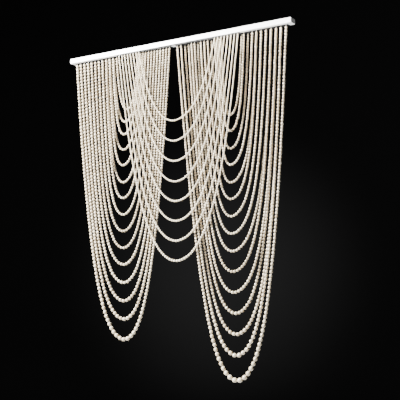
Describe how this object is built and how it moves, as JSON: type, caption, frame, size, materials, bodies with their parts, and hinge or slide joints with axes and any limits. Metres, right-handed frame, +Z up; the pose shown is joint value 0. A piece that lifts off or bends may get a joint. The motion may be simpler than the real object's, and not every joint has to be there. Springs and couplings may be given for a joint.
{
  "type": "bead curtain on a rail",
  "caption": "Curtain of pearl bead strings that hang in overlapping nested swags from a straight white ceiling rail.",
  "frame": {"origin": "middle of the rail's flat top face, which meets the ceiling", "axes": "+X along the rail to the right as seen from the room, -Y towards the room, +Z up"},
  "size_m": [1.2, 0.0473, 1.5579],
  "materials": {
    "white_paint": "satin white paint",
    "pearl": "pearl lustre"
  },
  "bodies": {
    "root": {"rail": "white_paint", "left_swags": "pearl", "centre_swags": "pearl", "right_swags": "pearl"}
  },
  "joints": []
}
